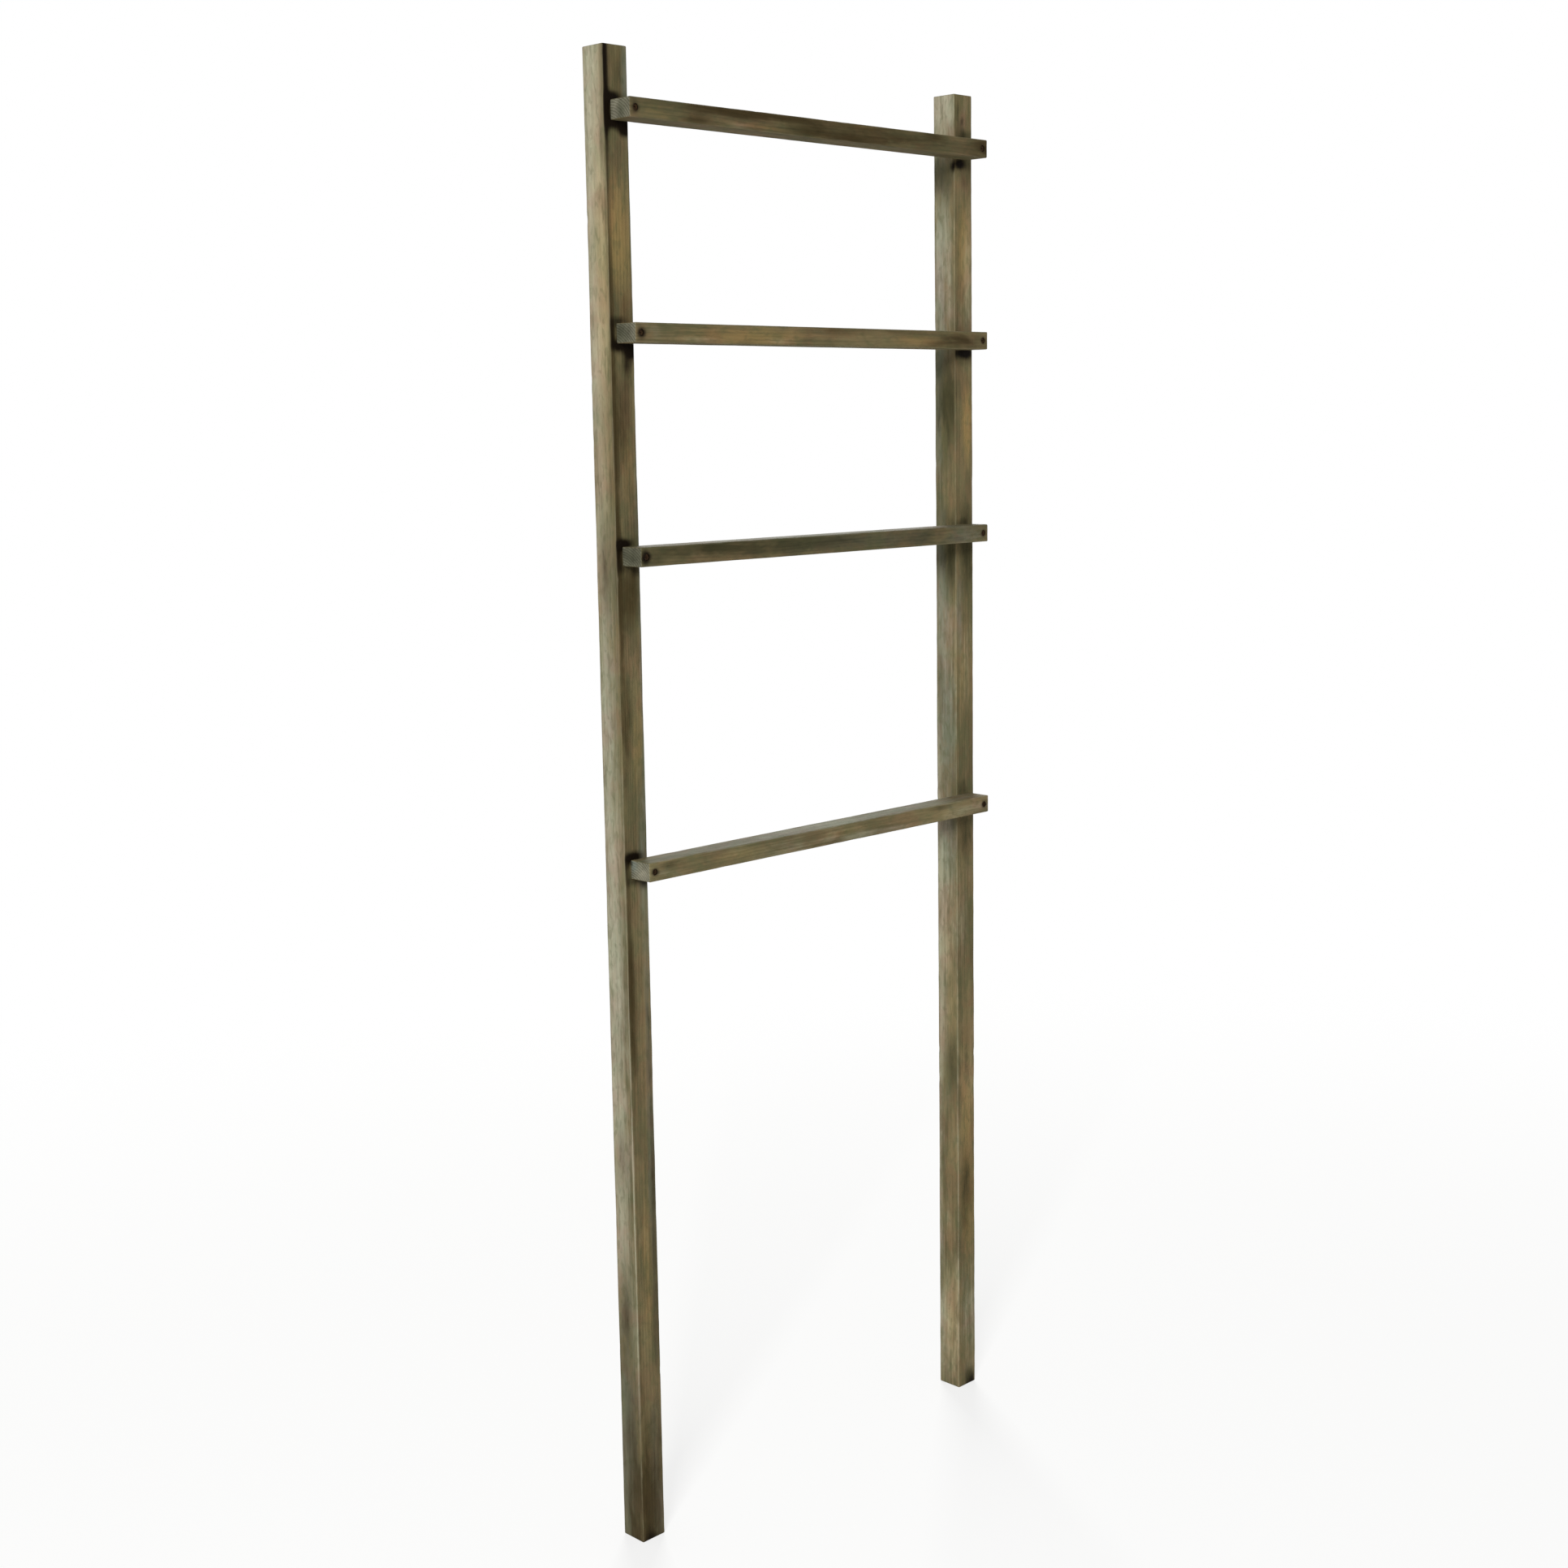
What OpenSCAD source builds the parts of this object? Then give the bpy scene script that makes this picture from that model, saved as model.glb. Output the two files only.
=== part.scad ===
// Towel ladder: two square wooden rails and four flat rungs screwed to their front faces.
// The ladder stands upright. X runs along the rungs, the front faces -Y and Z is up.
// The origin is on the floor, midway between the rails, in the plane where rungs meet rails.

/* [Rails] */
// Height of the ladder, which is the length of each rail
ladder_height = 1800; // [1500:10:2100]
// Width over the outer faces of the two rails
ladder_width = 640; // [450:5:800]
// Width of a rail, across the ladder
rail_width = 36; // [30:0.5:50]
// Depth of a rail, front to back
rail_depth = 36; // [30:0.5:50]

/* [Rungs] */
// Height of a rung
rung_height = 23; // [18:0.5:40]
// Depth of a rung, front to back
rung_depth = 34; // [24:0.5:40]
// Distance from a rail's outer face in to the end of a rung
rung_inset = 9; // [6:0.5:13]

/* [Rung spacing] */
// Distance from the top of the rails down to the middle of the top rung
top_drop = 72; // [40:1:150]
// Distance from the top rung down to the second rung, middle to middle
second_drop = 248; // [120:1:300]
// Distance from the second rung down to the third rung, middle to middle
third_drop = 255; // [120:1:300]
// Distance from the third rung down to the bottom rung, middle to middle
bottom_drop = 371; // [120:1:420]

/* [Edges] */
// Width of the flat that breaks every edge of the bars
edge_break = 1; // [0.5:0.25:2]

/* [Screws] */
// Diameter of a screw's shank
shank_diameter = 4; // [3:0.25:5]
// Diameter of a screw's countersunk head
head_diameter = 7.6; // [6.5:0.1:8]
// Length of a screw, from the top of its head to its tip
screw_length = 55; // [48:1:56]
// Depth of the screw head's flat top below the face of the rung
head_sink = 1.5; // [0.5:0.25:3]
// Length of the pointed end of a screw
tip_length = 6; // [4:0.5:8]
// Width of one slot of the cross recess in a screw's head
slot_width = 0.9; // [0.6:0.1:1.2]
// Length of one slot of the cross recess
slot_length = 4.4; // [3:0.1:5]
// Depth of the cross recess
slot_depth = 1.6; // [1:0.1:2]
// Clearance all round a screw in its hole
screw_clearance = 0.1; // [0.05:0.05:0.2]

/* [Hidden] */

left = -1;
right = 1;

// Heights of the rungs' middles above the floor
top_z = ladder_height - top_drop;
second_z = top_z - second_drop;
third_z = second_z - third_drop;
bottom_z = third_z - bottom_drop;
rung_heights = [top_z, second_z, third_z, bottom_z];

// A screw lies on the middle line of the rail that it enters
rail_middle = (ladder_width - rail_width) / 2;
rung_length = ladder_width - 2 * rung_inset;

// A countersunk head narrows at 45 degrees from its rim to the shank
head_height = (head_diameter - shank_diameter) / 2;
hole_diameter = shank_diameter + 2 * screw_clearance;
recess_diameter = head_diameter + 2 * screw_clearance;
head_top_y = -rung_depth + head_sink;
pilot_depth = head_top_y + screw_length + screw_clearance;
overcut = 1;
round_sides = 48;

// Rectangle from the origin with its four corners cut off
module broken_rectangle(w, h) {
    e = edge_break;
    polygon([[e, 0], [w - e, 0], [w, e], [w, h - e], [w - e, h], [e, h], [0, h - e], [0, e]]);
}

// Bar from the origin with all twelve edges broken: what three such prisms have in common
module bar(size) {
    intersection() {
        linear_extrude(size.z)
            broken_rectangle(size.x, size.y);
        translate([0, size.y, 0])
            rotate([90, 0, 0])
                linear_extrude(size.y)
                    broken_rectangle(size.x, size.z);
        rotate([90, 0, 90])
            linear_extrude(size.x)
                broken_rectangle(size.y, size.z);
    }
}

// Turns what points up so that it points to the back, with its origin at a screw's place
module at_screw(side, z) {
    translate([side * rail_middle, 0, z])
        rotate([-90, 0, 0])
            children();
}

// Square upright, with a blind pilot hole in its front face for each screw
module rail(side) {
    color([0.42, 0.36, 0.26])
        difference() {
            translate([side * rail_middle - rail_width / 2, 0, 0])
                bar([rail_width, rail_depth, ladder_height]);
            for (z = rung_heights)
                at_screw(side, z)
                    translate([0, 0, -overcut])
                        cylinder(d = hole_diameter, h = pilot_depth + overcut, $fn = round_sides);
        }
}

// Room that one screw takes in a rung: a sunk recess, a countersink and the shank's hole
module rung_hole() {
    translate([0, 0, -rung_depth - overcut])
        cylinder(d = recess_diameter, h = head_sink + overcut, $fn = round_sides);
    translate([0, 0, head_top_y])
        cylinder(d1 = recess_diameter, d2 = hole_diameter, h = head_height, $fn = round_sides);
    translate([0, 0, head_top_y])
        cylinder(d = hole_diameter, h = rung_depth, $fn = round_sides);
}

// Flat cross bar whose back lies on the fronts of both rails
module rung(z) {
    color([0.40, 0.34, 0.23])
        difference() {
            translate([-rung_length / 2, -rung_depth, z - rung_height / 2])
                bar([rung_length, rung_depth, rung_height]);
            for (side = [left, right])
                at_screw(side, z)
                    rung_hole();
        }
}

// Countersunk wood screw, drawn without its thread, with a cross recess in its head
module screw(side, z) {
    color([0.22, 0.19, 0.16])
        at_screw(side, z)
            translate([0, 0, head_top_y])
                difference() {
                    union() {
                        cylinder(d1 = head_diameter, d2 = shank_diameter, h = head_height, $fn = round_sides);
                        cylinder(d = shank_diameter, h = screw_length - tip_length, $fn = round_sides);
                        translate([0, 0, screw_length - tip_length])
                            cylinder(d1 = shank_diameter, d2 = 0, h = tip_length, $fn = round_sides);
                    }
                    for (turn = [0, 90])
                        rotate([0, 0, turn])
                            translate([-slot_length / 2, -slot_width / 2, -overcut])
                                cube([slot_length, slot_width, slot_depth + overcut]);
                }
}

rail(left);  // left_rail
rail(right);  // right_rail
rung(top_z);  // top_rung
rung(second_z);  // second_rung
rung(third_z);  // third_rung
rung(bottom_z);  // bottom_rung
screw(left, top_z);  // top_left_screw
screw(right, top_z);  // top_right_screw
screw(left, second_z);  // second_left_screw
screw(right, second_z);  // second_right_screw
screw(left, third_z);  // third_left_screw
screw(right, third_z);  // third_right_screw
screw(left, bottom_z);  // bottom_left_screw
screw(right, bottom_z);  // bottom_right_screw
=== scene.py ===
"""Looks of a free-standing wooden towel ladder: two square rails and four flat rungs screwed to them.

Shapes are worked out in millimetres and put into meshes in metres. A bar's own coordinates are
across, depth and along: on a rail these are x, y and z, and on a rung they are z, y and x.
"""

import math

import bpy
import numpy as np
from mathutils import Matrix, Vector


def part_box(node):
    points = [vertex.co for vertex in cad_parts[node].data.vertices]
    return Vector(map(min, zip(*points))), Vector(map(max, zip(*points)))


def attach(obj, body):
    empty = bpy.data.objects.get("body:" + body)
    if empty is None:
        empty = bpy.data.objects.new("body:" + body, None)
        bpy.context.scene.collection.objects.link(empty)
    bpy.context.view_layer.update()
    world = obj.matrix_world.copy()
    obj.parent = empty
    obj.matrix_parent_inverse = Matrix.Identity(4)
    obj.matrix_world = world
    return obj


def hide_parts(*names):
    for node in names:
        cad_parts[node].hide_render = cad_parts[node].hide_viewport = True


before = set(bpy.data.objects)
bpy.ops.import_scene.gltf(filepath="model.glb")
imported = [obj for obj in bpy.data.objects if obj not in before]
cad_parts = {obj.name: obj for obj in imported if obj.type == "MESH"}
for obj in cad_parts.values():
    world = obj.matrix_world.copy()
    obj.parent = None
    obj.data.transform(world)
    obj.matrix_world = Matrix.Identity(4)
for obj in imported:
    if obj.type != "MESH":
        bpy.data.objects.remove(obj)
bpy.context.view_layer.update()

MM = 0.001
RAILS = ("left_rail", "right_rail")
RUNGS = ("top_rung", "second_rung", "third_rung", "bottom_rung")
RAIL_AXES = (0, 1, 2)
RUNG_AXES = (2, 1, 0)

# The four long faces of a bar in the order in which a profile goes round it, with their normals
FRONT, RIGHT, BACK, LEFT = range(4)
NORMALS = ((0, -1), (1, 0), (0, 1), (-1, 0))
# A rung lies on its side, so its second face is its top
TOP = RIGHT
# The ends of a bar, at its low and its high coordinate
START, FINISH = 4, 5

# Cells of a bar's grid: their length along it, and how many lie across its front and back and across
# its sides, round a corner, in the wear of an end, out from a screw hole's middle and beside its square
CELL_LENGTH = 4.0
RAIL_CELLS = (26, 26)
RUNG_CELLS = (18, 26)
CORNER_CELLS = 5
END_CELLS = 4
HOLE_CELLS = 8
RIM_CELLS = 6

# How far the wear draws in a bar's ends, and the scales of the rings that close an end
END_WEAR = 1.4
CAP_SCALES = (0.96, 0.88, 0.76, 0.62, 0.48, 0.34, 0.2, 0.08)

# The radius of a bar's worn corners, and its least where the wear of an end narrows it
CORNER_RADIUS = 1.9
LEAST_RADIUS = 0.2
# Chips out of the corners: one for each such length, how deep they are, how far they reach, and
# the share of the bar's length on which they lie, to each side of its middle
CHIP_SPACING = 60
CHIP_DEPTHS = (0.3, 1.1)
CHIP_REACHES = (3.0, 9.0)
CHIP_SHARE = 0.48

# Slow changes over a bar: how large each is, its step along the bar and how many steps go round
RADIUS_DRIFT = (0.5, 70.0, 4)
RADIUS_WAVER = (0.25, 12.0, 4)
PLANE_WAVES = (0.08, 45.0, 12)
GRAIN_DENTS = (0.05, 28.0, 40)
RING_SWAY = (4.0, 260.0, 4)
RING_WAVE = (1.0, 110.0, 8)

# Where the tree's middle lies beside and behind a bar, and its most drift for each millimetre along
PITH_BESIDE = (25.0, 45.0)
PITH_BEHIND = (10.0, 40.0)
PITH_DRIFT = 0.012
# How many times its size a knot reaches across the grain and along it, how far it parts the rings
# for its size, and how far they rise in it
KNOT_REACH = (1.8, 3.5)
KNOT_PARTING = 0.75
KNOT_RISE = 2.0

# A sunk screw hole from its middle to the face of the rung, and half the square that it is set in,
# in millimetres and as a share of the face's half width
HOLE_RADII = (0.0, 1.3, 2.1, 3.0, 3.75, 3.86, 3.92, 4.15)
HOLE_DEPTHS = (3.8, 3.8, 3.5, 2.6, 1.8, 1.5, 0.3, 0.0)
HOLE_SQUARE = 4.6
HOLE_BAND = 0.5
# A hole is darkened all over from this depth down, as painted shade in its recess
SHADED_DEPTH = 0.8

# A wood screw: its shank, the core of its thread, where its neck ends, how soon the thread is full,
# and its point
SHANK_RADIUS = 1.95
CORE_RADIUS = 1.35
NECK_END = 20.0
THREAD_PITCH = 1.8
THREAD_RISE = 3.0
POINT_LENGTH = 6.0
TIP_RADIUS = 0.12
# Its grid: points round it, and rings over its head's disc, its neck, a pitch of thread and its point
SCREW_SIDES = 48
DISC_RINGS = 15
NECK_RINGS = 8
PITCH_RINGS = 6
POINT_RINGS = 16
# The worn rim of its head: how far each ring lies in from the full radius, and how deep
HEAD_RIM = ((0.1, 0.05), (0.02, 0.18), (0.1, 0.35))
# The cross recess: each slot's width and length, how far these take to slope down, and its depth
SLOT_HALF_WIDTH, SLOT_SIDE = 0.55, 0.3
SLOT_HALF_LENGTH, SLOT_END = 2.3, 1.1
SLOT_DEPTH = 1.5


def middle_of(node):
    """Middle of a CAD node's box, in millimetres."""
    low, high = (np.array(corner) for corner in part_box(node))
    return (low + high) / 2 / MM


def half_of(node):
    """Half the size of a CAD node's box, in millimetres."""
    low, high = (np.array(corner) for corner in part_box(node))
    return (high - low) / 2 / MM


def smoothstep(t):
    """The cubic 3t^2 - 2t^3 of t held between 0 and 1."""
    t = np.clip(t, 0.0, 1.0)
    return t * t * (3.0 - 2.0 * t)


def soft_noise(rng, along, turn, step, columns):
    """Random numbers from -1 to 1 on a lattice, blended between its points by smoothstep.

    The lattice has a row for each step of the length along. Its columns close into a ring, which
    turn goes once round from 0 to 1.
    """
    row = (along - along.min()) / step
    column = turn * columns
    lattice = rng.uniform(-1.0, 1.0, (int(row.max()) + 2, columns))
    low, left = np.floor(row).astype(int), np.floor(column).astype(int)
    up, over = smoothstep(row - low), smoothstep(column - left)
    left, right = left % columns, (left + 1) % columns
    below = lattice[low, left] * (1.0 - over) + lattice[low, right] * over
    above = lattice[low + 1, left] * (1.0 - over) + lattice[low + 1, right] * over
    return below * (1.0 - up) + above * up


def grid_faces(rows, columns, flip):
    """Faces of rings of points that close round, with a fan from each end ring to a pole.

    The poles are the two points after the last ring.
    """
    i, j = np.meshgrid(np.arange(rows - 1), np.arange(columns), indexing="ij")
    k = (j + 1) % columns
    quads = np.stack([i * columns + j, i * columns + k, (i + 1) * columns + k, (i + 1) * columns + j], -1)
    j = np.arange(columns)
    k = (j + 1) % columns
    last_ring, pole = (rows - 1) * columns, np.full(columns, rows * columns)
    first_fan = np.stack([pole, k, j], -1)
    last_fan = np.stack([last_ring + j, last_ring + k, pole + 1], -1)
    parts = (quads.reshape(-1, 4), first_fan, last_fan)
    return [face for part in parts for face in part[:, ::-1 if flip else 1].tolist()]


def add_object(name, data):
    """A new object in the scene."""
    made = bpy.data.objects.new(name, data)
    bpy.context.scene.collection.objects.link(made)
    return made


def make_piece(name, points, faces, masks, material, node):
    """A mesh on the root body that stands for a CAD node, with an attribute for each mask."""
    mesh = bpy.data.meshes.new(name)
    mesh.from_pydata((points * MM).tolist(), [], faces)
    mesh.polygons.foreach_set("use_smooth", np.ones(len(mesh.polygons), bool))
    for mask, values in masks.items():
        mesh.attributes.new(mask, "FLOAT", "POINT").data.foreach_set("value", values.astype(np.float32))
    mesh.materials.append(material)
    piece = add_object(name, mesh)
    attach(piece, "root")
    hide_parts(node)


class Bar:
    """A squared bar of wood as a grid of rings along its length, with worn corners and ends.

    A point of a ring lies on the outline of a rectangle that is drawn in by the corner radius, plus
    that radius times the direction outwards. Radius and relief vary over the bar.
    """

    def __init__(self, node, axes, cells, seed, holes=(), knots=()):
        self.node = node
        self.axes = axes
        self.middle = middle_of(node)[list(axes)]
        self.half = half_of(node)[list(axes)]
        self.rng = np.random.default_rng(seed)
        self.holes = holes
        self.knots = knots
        self.outline(cells)
        self.stations()
        self.surface()
        self.growth_rings()

    def outline(self, cells):
        """Each point of a ring: its face, its turn, its share of the half sizes and its direction outwards.

        Turn goes once round the bar from 0 to 1. Bend is 1 in the middle of a corner's arc and 0
        on the faces.
        """
        points = []
        for side, normal in enumerate(NORMALS):
            heading = (-normal[1], normal[0])
            for t in self.shares(side, cells[side % 2]):
                spot = (heading[0] * t + normal[0], heading[1] * t + normal[1])
                points.append((side, (side + 0.5 + t / 2) / 4, *spot, *normal, 0.0))
            corner = (heading[0] + normal[0], heading[1] + normal[1])
            for k in range(CORNER_CELLS):
                a = math.pi / 2 * k / CORNER_CELLS
                out = [n * math.cos(a) + h * math.sin(a) for n, h in zip(normal, heading)]
                points.append((side, (side + 1) / 4 % 1, *corner, *out, math.sin(2 * a)))
        side, self.turn, share_a, share_d, out_a, out_d, self.bend = np.array(points).T
        self.side = side.astype(int)
        self.share = np.stack([share_a, share_d])
        self.out = np.stack([out_a, out_d])

    def shares(self, side, cells):
        """Shares of a face's width from -1 to 1, without the last, and closer over a screw hole."""
        if side == FRONT and self.holes:
            rim = np.linspace(-1.0, -HOLE_BAND, RIM_CELLS + 1)[:-1]
            hole = np.linspace(-HOLE_BAND, HOLE_BAND, 2 * HOLE_CELLS + 1)
            return [*rim, *hole, *-rim[:0:-1]]
        return np.linspace(-1.0, 1.0, cells + 1)[:-1]

    def stations(self):
        """Each ring's place along the bar, how far it is drawn in, and its scale on an end face.

        The wear of an end is a quarter of a circle. Between the ends the rings are a cell apart, and
        closer over a screw hole.
        """
        half, square = self.half[2], HOLE_SQUARE
        angles = np.linspace(math.pi / 2, 0.0, END_CELLS + 1)[:-1]
        worn = [(half - END_WEAR * (1 - math.sin(a)), END_WEAR * (1 - math.cos(a)), 1.0) for a in angles]
        stops = [END_WEAR - half, half - END_WEAR]
        stops += [h + e for h in self.holes for e in (-square, square)]
        stops = np.unique(np.round(stops, 3))
        places = []
        for a, b in zip(stops, stops[1:]):
            over_hole = any(abs((a + b) / 2 - h) < square for h in self.holes)
            count = 2 * HOLE_CELLS if over_hole else max(1, round((b - a) / CELL_LENGTH))
            places += [*np.linspace(a, b, count + 1)[:-1]]
        rows = [(-half, END_WEAR, k) for k in CAP_SCALES[::-1]]
        rows += [(-w, inset, k) for w, inset, k in worn]
        rows += [(w, 0.0, 1.0) for w in [*places, stops[-1]]]
        rows += worn[::-1]
        rows += [(half, END_WEAR, k) for k in CAP_SCALES]
        self.along, self.inset, self.scale = np.array(rows).T[:, :, None]
        self.end = np.where(self.scale < 1.0, 1.0, smoothstep(self.inset / END_WEAR))

    def surface(self):
        """Points of the bar: the outline with its worn radius, less a shallow relief, then the holes."""
        radius = np.maximum(self.worn_radius() - self.inset, LEAST_RADIUS)
        half_a, half_d = (self.half[k] - self.inset for k in (0, 1))
        across = self.share[0] * (half_a - radius) + self.out[0] * radius
        depth = self.share[1] * (half_d - radius) + self.out[1] * radius
        if self.holes:
            across = np.where(self.side == FRONT, self.hole_rows(across, half_a - radius), across)
        relief = self.relief()
        across = (across - self.out[0] * relief) * self.scale
        depth = (depth - self.out[1] * relief) * self.scale
        self.points = np.stack([across, depth, np.repeat(self.along, across.shape[1], axis=1)])
        self.recess = np.zeros_like(across)
        for hole in self.holes:
            self.sink_hole(hole)

    def slow_change(self, change, along, turn):
        """Soft noise times its size."""
        size, step, columns = change
        return size * soft_noise(self.rng, along, turn, step, columns)

    def worn_radius(self):
        """Radius of the corners: slow changes along each, and chips as short bell curves on one of them."""
        radius = CORNER_RADIUS + self.slow_change(RADIUS_DRIFT, self.along, self.turn)
        radius = radius + self.slow_change(RADIUS_WAVER, self.along, self.turn)
        length = 2 * self.half[2]
        for _ in range(int(length / CHIP_SPACING)):
            place = self.rng.uniform(-CHIP_SHARE, CHIP_SHARE) * length
            corner = self.rng.integers(4) / 4
            depth, reach = self.rng.uniform(*CHIP_DEPTHS), self.rng.uniform(*CHIP_REACHES)
            near = np.abs((self.turn - corner + 0.5) % 1 - 0.5) < 1 / 8
            radius = radius + depth * np.exp(-((self.along - place) / reach) ** 2) * near
        return radius

    def relief(self):
        """Depth of the surface's hollows: slow waves left by the plane, and dents along the grain."""
        waves = PLANE_WAVES[0] + self.slow_change(PLANE_WAVES, self.along, self.turn)
        dents = GRAIN_DENTS[0] + self.slow_change(GRAIN_DENTS, self.along, self.turn)
        return (waves + dents) * (1.0 - self.end) * (1.0 - self.bend)

    def hole_rows(self, across, room):
        """On the face with the holes, the rows over them lie straight, and the rest share what is left."""
        t = self.share[0]
        outside = HOLE_SQUARE + (np.abs(t) - HOLE_BAND) / (1 - HOLE_BAND) * (room - HOLE_SQUARE)
        placed = np.where(np.abs(t) <= HOLE_BAND, t / HOLE_BAND * HOLE_SQUARE, np.sign(t) * outside)
        return np.where(self.bend + (np.abs(t) >= 1.0) > 0, across, placed)

    def sink_hole(self, hole):
        """Turns the square rings of cells round a hole into circles, each with its radius and depth."""
        across, depth, along = self.points
        g, f = (along - hole) / HOLE_SQUARE, across / HOLE_SQUARE
        ring = np.maximum(np.abs(g), np.abs(f))
        inside = (ring < 1.0 - 0.5 / HOLE_CELLS) & (self.side == FRONT) & (self.scale == 1.0)
        wide = np.abs(g) >= np.abs(f)
        ratio = np.where(wide, f, g) / np.where(ring > 0, np.where(wide, g, f), 1.0)
        flat = math.pi / 4 * ratio + math.pi * (g < 0)
        steep = math.pi / 2 - math.pi / 4 * ratio + math.pi * (f < 0)
        angle = np.where(wide, flat, steep)
        number = np.arange(HOLE_CELLS)
        radius = np.interp(ring * HOLE_CELLS, number, HOLE_RADII)
        sunk = np.interp(ring * HOLE_CELLS, number, HOLE_DEPTHS)
        self.points = np.stack([
            np.where(inside, radius * np.sin(angle), across),
            np.where(inside, depth + sunk, depth),
            np.where(inside, hole + radius * np.cos(angle), along),
        ])
        # The sunk part of a hole is darkened as painted shade
        self.recess = np.maximum(self.recess, inside * smoothstep(sunk / SHADED_DEPTH))

    def sideways(self, side):
        """Distance of each point from the middle line of a face, along the face's width."""
        return self.points[0] if side in (FRONT, BACK) else self.points[1]

    def growth_rings(self):
        """Distance from the tree's middle, which lies beside the bar and drifts along it, in millimetres.

        Near a knot the lines of equal distance part and run round it.
        """
        across, depth, along = self.points
        beside = self.rng.uniform(*PITH_BESIDE) * self.rng.choice([-1.0, 1.0])
        behind = self.rng.uniform(*PITH_BEHIND)
        drift = self.rng.uniform(-PITH_DRIFT, PITH_DRIFT)
        sway = self.slow_change(RING_SWAY, along, np.zeros_like(along))
        wave = self.slow_change(RING_WAVE, along, self.turn + np.zeros_like(along))
        rings = np.hypot(across - beside - drift * along - sway, depth - behind) + wave * (1.0 - self.end)
        for side, place, offset, size in self.knots:
            u = (self.sideways(side) - offset) / size
            v = (along + self.middle[2] - place) / size
            reach = np.exp(-(u / KNOT_REACH[0]) ** 2 - (v / KNOT_REACH[1]) ** 2) * self.facing(side)
            rings = rings - KNOT_PARTING * size * u * reach
            rings = rings + KNOT_RISE * np.hypot(u, v) * np.exp(-u * u - v * v)
        self.rings = rings

    def facing(self, side):
        """How squarely each point faces the way that a side does: 1 on it and 0 past its corners."""
        if side in (START, FINISH):
            return self.end * ((self.points[2] > 0) == (side == FINISH))
        normal = NORMALS[side]
        return np.clip(self.out[0] * normal[0] + self.out[1] * normal[1], 0.0, 1.0) * (1.0 - self.end)

    def spots(self, ovals):
        """How strongly soft ovals cover each point: each is a bell curve, and together they reach 1.

        On a long face an oval has a place along the bar and an offset from the face's middle line. On
        an end face these are its places across the bar and in its depth.
        """
        across, depth, along = self.points
        bare = np.ones_like(along)
        for side, place, offset, half_length, half_width, strength in ovals:
            if side in (START, FINISH):
                u, v = across - place, depth - offset
            else:
                u, v = along + self.middle[2] - place, self.sideways(side) - offset
            reach = (u / half_length) ** 2 + (v / half_width) ** 2
            bare = bare * (1.0 - strength * np.exp(-reach) * self.facing(side))
        return 1.0 - bare

    def build(self, material, marks):
        """The finished piece, with its masks: growth rings, worn edges, end grain and the marks."""
        poles = [(0.0, 0.0, -self.half[2]), (0.0, 0.0, self.half[2])]
        local = np.concatenate([self.points.reshape(3, -1).T, poles]) + self.middle
        points = np.empty_like(local)
        points[:, self.axes] = local
        rows, columns = self.points[0].shape
        worn_ends = 4 * self.end * (1 - self.end)
        masks = {mark: self.spots(ovals) for mark, ovals in marks.items()}
        # The holes' sunk parts join the near-black mask as painted shade
        masks["shadow_and_stain"] = np.maximum(masks["shadow_and_stain"], self.recess)
        masks["rings"] = self.rings
        masks["edge"] = np.maximum(self.bend * (1 - self.end), worn_ends)
        masks["end"] = self.end + np.zeros(columns)
        masks = {mask: np.append(v.reshape(-1), [v[0].mean(), v[-1].mean()]) for mask, v in masks.items()}
        faces = grid_faces(rows, columns, flip=self.axes == RUNG_AXES)
        make_piece(self.node + "_timber", points, faces, masks, material, self.node)


def wood_screw(node, material):
    """A countersunk screw along y, as rings round its axis from the head's middle to the tip.

    The head is a flat disc with a worn rim, less a cross of two slots whose depth falls off
    towards their sides and ends. Under it come the cone, the plain neck and the thread, whose
    radius rises to a crest once in a pitch of a helix, and a point that narrows evenly.
    """
    x, y, z = middle_of(node)
    head, half_length = half_of(node)[:2]
    top, length = y - half_length, 2 * half_length
    cone_end = head - SHANK_RADIUS + 0.1
    point_start = length - POINT_LENGTH
    neck = np.linspace(cone_end + 0.3, NECK_END, NECK_RINGS)
    thread = np.arange(NECK_END, point_start, THREAD_PITCH / PITCH_RINGS)[1:]
    point_radii = np.linspace(SHANK_RADIUS, TIP_RADIUS, POINT_RINGS)
    point_depths = np.linspace(point_start, length - 0.1, POINT_RINGS)
    profile = [(radius, 0.0) for radius in np.linspace(0.05, head - 0.25, DISC_RINGS)]
    profile += [(head - inset, depth) for inset, depth in HEAD_RIM]
    profile += [(SHANK_RADIUS, depth) for depth in (cone_end, *neck, *thread)]
    profile += zip(point_radii, point_depths)
    angle = np.linspace(0.0, 2 * math.pi, SCREW_SIDES + 1)[:-1]
    radius, depth = (column[:, None] + np.zeros(SCREW_SIDES) for column in np.array(profile).T)
    crest = np.abs((depth / THREAD_PITCH - angle / (2 * math.pi)) % 1 * 2 - 1) ** 3
    threaded = smoothstep((depth - NECK_END) / THREAD_RISE)
    radius = radius * (1 - threaded * (1 - CORE_RADIUS / SHANK_RADIUS) * (1 - crest))
    side, up = radius * np.cos(angle), radius * np.sin(angle)
    for a, b in ((side, up), (up, side)):
        within_width = smoothstep((SLOT_HALF_WIDTH - np.abs(b)) / SLOT_SIDE)
        within_length = smoothstep((SLOT_HALF_LENGTH - np.abs(a)) / SLOT_END)
        still_flat = depth < 0.01
        depth = np.maximum(depth, SLOT_DEPTH * within_width * within_length * still_flat)
    points = np.stack([x + side, top + depth, z + up], -1).reshape(-1, 3)
    points = np.concatenate([points, [(x, top + SLOT_DEPTH, z), (x, top + length, z)]])
    faces = grid_faces(*radius.shape, flip=True)
    make_piece(node.replace("_screw", "_wood_screw"), points, faces, {}, material, node)


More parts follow.
